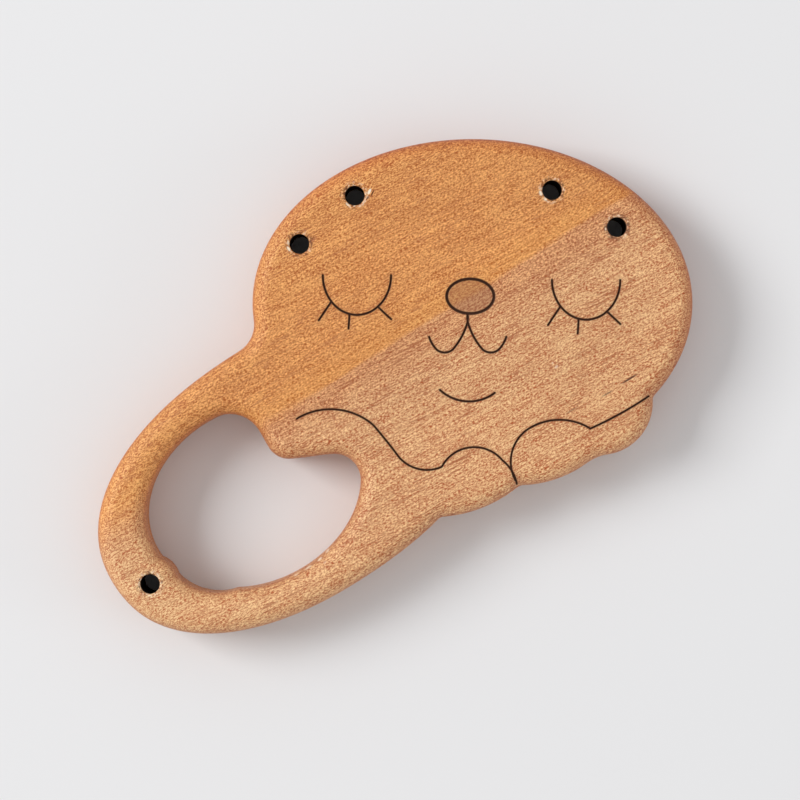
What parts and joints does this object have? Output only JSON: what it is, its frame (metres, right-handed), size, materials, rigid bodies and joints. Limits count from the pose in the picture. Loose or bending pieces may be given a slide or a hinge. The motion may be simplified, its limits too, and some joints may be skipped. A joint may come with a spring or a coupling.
{
  "type": "wooden baby rattle",
  "caption": "Flat wooden grasping rattle: engraved sleeping animal face, fleece-edged neck, oval ring handle, cord holes, and loose balls shut inside.",
  "frame": {"origin": "on the back face, under the middle of the outline's box; the rattle lies on its back", "axes": "+Z out of the engraved face, through the thickness; +X along the head's long way, towards the side away from the handle; +Y towards the crown of the head"},
  "size_m": [0.1138, 0.0946, 0.014],
  "materials": {
    "front_board": "fine-sanded, lightly oiled hardwood",
    "back_board": "fine-sanded, lightly oiled hardwood",
    "ball": "bare turned hardwood"
  },
  "bodies": {
    "boards": {"front_half": "front_board", "back_half": "back_board"},
    "ball_1_body": {"ball_1": "ball"},
    "ball_2_body": {"ball_2": "ball"},
    "ball_3_body": {"ball_3": "ball"}
  },
  "joints": [
    {"name": "ball_1_roll", "type": "slide", "parent": "boards", "child": "ball_1_body", "axis": [1, 0, 0], "range_m": [-0.0117, 0.0117]},
    {"name": "ball_2_roll", "type": "slide", "parent": "boards", "child": "ball_2_body", "axis": [1, 0, 0], "range_m": [-0.0117, 0.0117]},
    {"name": "ball_3_roll", "type": "slide", "parent": "boards", "child": "ball_3_body", "axis": [1, 0, 0], "range_m": [-0.0117, 0.0117]}
  ]
}
